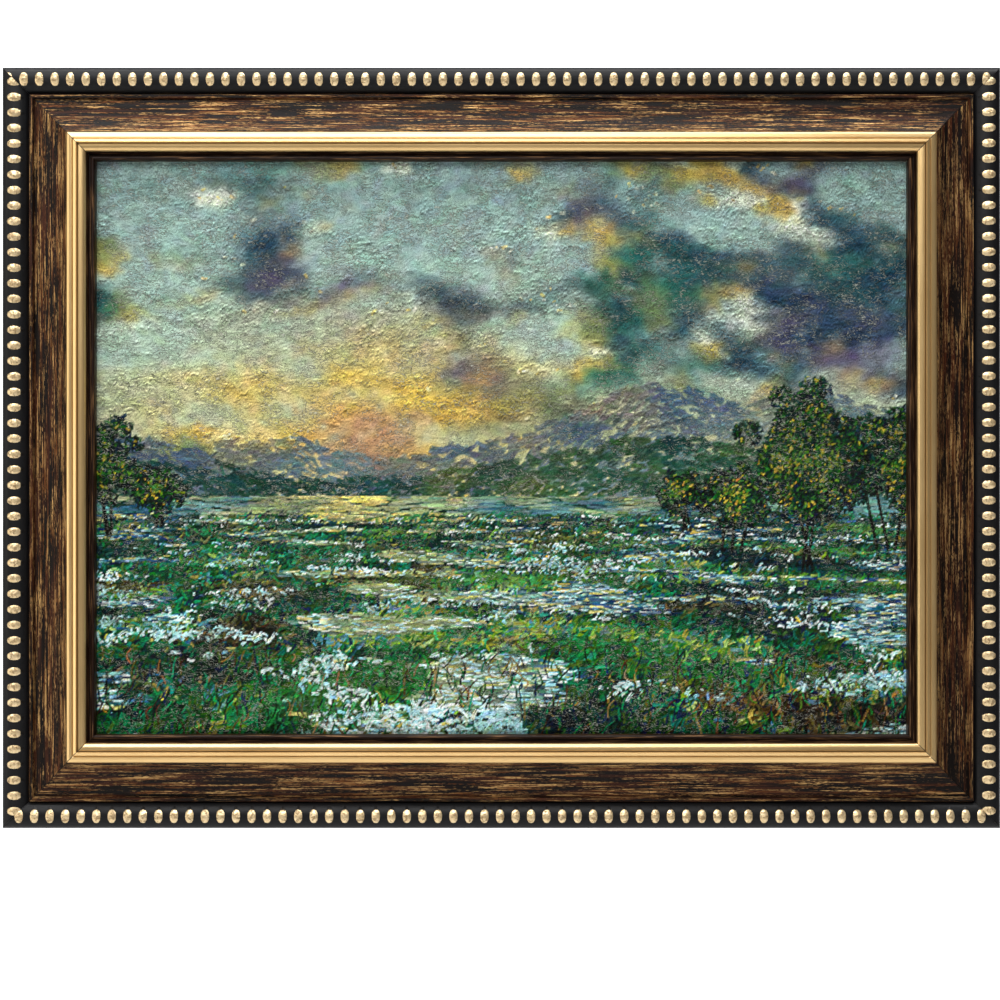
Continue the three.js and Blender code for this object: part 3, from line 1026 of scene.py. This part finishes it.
def film_strip(name, first_row, last_row, finish):
    bm = bmesh.new()
    height = row_place[last_row] - row_place[first_row]
    middle_height = (row_place[last_row] + row_place[first_row]) / 2 - film_height / 2
    size = Matrix.Diagonal((film_width, height, 1, 1))
    upright = Matrix.Rotation(math.radians(90), 4, "X")
    place = Matrix.Translation((0, board_front - film_skin, frame_middle.z + middle_height))
    bmesh.ops.create_grid(
        bm, x_segments=columns - 1, y_segments=last_row - first_row, size=0.5,
        matrix=place @ upright @ size,
    )
    for face in bm.faces:
        face.smooth = True
    rim = [e for e in bm.edges if e.is_boundary]
    for edge in rim:
        edge.smooth = False
    drawn = bmesh.ops.extrude_edge_only(bm, edges=rim)
    moved = [v for v in drawn["geom"] if isinstance(v, bmesh.types.BMVert)]
    bmesh.ops.translate(bm, vec=(0, film_skin, 0), verts=moved)
    bmesh.ops.holes_fill(bm, edges=[e for e in bm.edges if e.is_boundary], sides=0)
    bmesh.ops.recalc_face_normals(bm, faces=bm.faces)
    strip = finished(name, bm, [finish])

    mesh = strip.data
    points = np.empty(3 * len(mesh.vertices), np.float32)
    mesh.vertices.foreach_get("co", points)
    points = points.reshape(-1, 3)
    column = np.rint((points[:, 0] / film_width + 0.5) * (columns - 1)).astype(int)
    row = np.rint((points[:, 2] - frame_middle.z + film_height / 2) / film_height * (rows - 1)).astype(int)
    front = points[:, 1] < board_front - film_skin / 2
    points[front, 1] -= film_relief[row[front], column[front]]
    mesh.vertices.foreach_set("co", points.ravel())
    tint = mesh.attributes.new("paint", "FLOAT_COLOR", "POINT")
    tint.data.foreach_set("color", film_colour[row, column].astype(np.float32).ravel())
    mesh.update()
    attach(strip, "root")


from_edge = np.minimum(
    np.minimum(column_place, film_width - column_place)[None, :],
    np.minimum(row_place, film_height - row_place)[:, None],
) - film_margin
free = np.clip(from_edge / film_fade, 0, 1)
film_relief = np.minimum(relief, film_lip_skin) * (1 - free) + relief * free
share = np.clip(paint, 0, 255) / 255
linear = np.where(share <= 0.04045, share / 12.92, ((share + 0.055) / 1.055) ** 2.4)
film_colour = np.concatenate([linear, np.ones((rows, columns, 1))], axis=2)
paint_finish = oil_paint()
cuts = [round(k * (rows - 1) / film_strips) for k in range(film_strips + 1)]
for number, (first_row, last_row) in enumerate(zip(cuts, cuts[1:]), 1):
    film_strip(f"paint_film_{number}", first_row, last_row, paint_finish)


# The board: 3 mm hardboard, its smooth face primed and painted, its back bare with the print of
# the screen that it was pressed on. It lies loose in the rebate, held by the points.
screen_pitch = 0.0013


def hardboard():
    finish = Finish("hardboard")
    place = finish.node("TexCoord", {}, {}, "Object")
    fibres = finish.noise(place, 900, 4, 1.2)
    mottle = finish.noise(place, 40, 3)
    turned = finish.stretched(place, (2 * math.pi / screen_pitch,) * 3)
    across = finish.part(turned, "X").math("SINE")
    up = finish.part(turned, "Z").math("SINE")
    screen = across.math("MAXIMUM", up) * 0.5 + 0.5
    tone = fibres * 0.6 + mottle * 0.4
    brown = finish.mix(tone, colour(84, 56, 36), colour(150, 112, 76))
    return finish.surface(
        Base_Color=finish.mix(0.35 * screen, brown, colour(70, 46, 30)),
        Roughness=0.72,
        Normal=finish.bump(screen * 0.7 + fibres * 0.5, 0.00025),
    )


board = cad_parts["painted_board"]
board.material_slots[0].material = hardboard()


# The fixings: thin zinc-plated steel. Eight points driven into the rebate hold the board in, and
# a sawtooth hanger is nailed to the back of the top rail.
def plated_steel():
    finish = Finish("plated_steel")
    place = finish.node("TexCoord", {}, {}, "Object")
    brushed = finish.noise(finish.stretched(place, (300, 300, 4200)), 1, 2)
    spangle = finish.noise(place, 420, 2)
    zinc = finish.mix(spangle, colour(150, 150, 148), colour(206, 204, 198))
    return finish.surface(
        Base_Color=zinc,
        Metallic=1.0,
        Roughness=0.3 + 0.14 * spangle,
        Normal=finish.bump(brushed, 0.00002),
    )


steel = plated_steel()
for name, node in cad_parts.items():
    if name.startswith(("point_", "hanger_nail_", "sawtooth_hanger")):
        node.material_slots[0].material = steel
